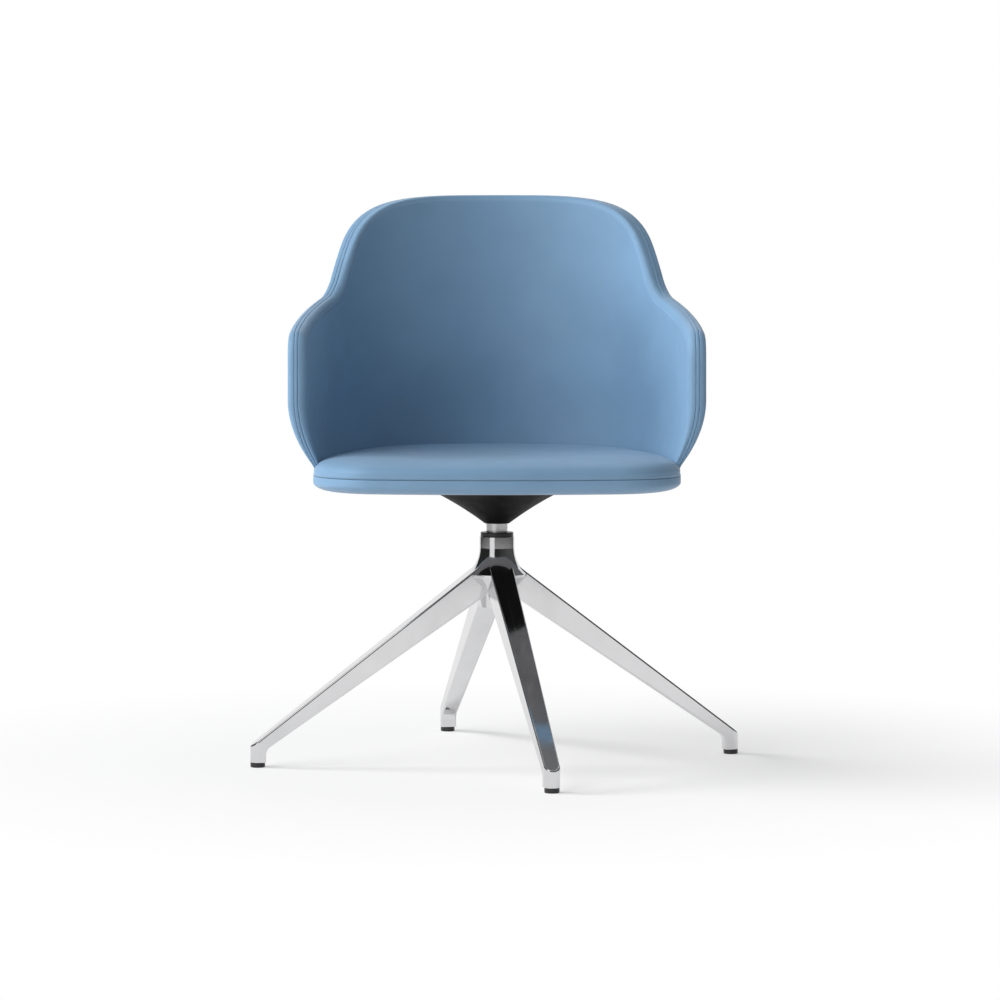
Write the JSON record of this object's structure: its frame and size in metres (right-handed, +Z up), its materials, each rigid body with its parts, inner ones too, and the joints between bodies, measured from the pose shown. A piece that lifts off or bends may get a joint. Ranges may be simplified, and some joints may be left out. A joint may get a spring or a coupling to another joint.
{
  "type": "swivel armchair",
  "caption": "Padded tub armchair with a wrap-around back and arms that swivels on a polished star base with straight splayed legs.",
  "frame": {"origin": "on the floor, on the swivel axis", "axes": "+Z up, -Y to the front of the seat, +X to the right as seen from the front"},
  "size_m": [0.6846, 0.6846, 0.7914],
  "materials": {
    "polished_aluminium": "polished",
    "bright_post": "satin chrome",
    "bearing_steel": "ground",
    "black_steel": "black powder coat",
    "black_plastic": "matte black",
    "moulded_plywood": "raw",
    "foam": "open cell foam",
    "blue_leatherette": "smooth blue leatherette"
  },
  "bodies": {
    "base": {"base_casting": "polished_aluminium", "glide_front": "black_plastic", "glide_right": "black_plastic", "glide_rear": "black_plastic", "glide_left": "black_plastic", "upper_bush": "black_plastic", "lower_bush": "black_plastic", "thrust_race_lower": "bearing_steel", "hub_bottom_cap": "black_plastic"},
    "bearing_cage": {"ball_cage": "black_plastic", "bearing_balls": "bearing_steel"},
    "seat": {"thrust_race_upper": "bearing_steel", "swivel_post": "bright_post", "wear_washer": "bearing_steel", "retaining_ring": "bearing_steel", "seat_plate": "black_steel", "cone_cover": "black_plastic", "plate_bolts": "bearing_steel", "plate_washers": "bearing_steel", "tee_nuts": "bearing_steel", "seat_band_cover": "blue_leatherette", "shell_core": "moulded_plywood", "seat_foam": "foam", "seat_cushion_cover": "blue_leatherette", "back_outer_cover": "blue_leatherette", "back_inner_pad": "blue_leatherette", "rim_welt": "blue_leatherette"}
  },
  "joints": [
    {"name": "seat_swivel", "type": "hinge", "parent": "base", "child": "seat", "pos_m": [0, 0, 0.25], "axis": [0, 0, 1], "continuous": true},
    {"name": "cage_roll", "type": "hinge", "parent": "base", "child": "bearing_cage", "pos_m": [0, 0, 0.243], "axis": [0, 0, 1], "continuous": true}
  ],
  "couplings": [
    {"joint": "cage_roll", "follows": "seat_swivel", "ratio": 0.5}
  ]
}
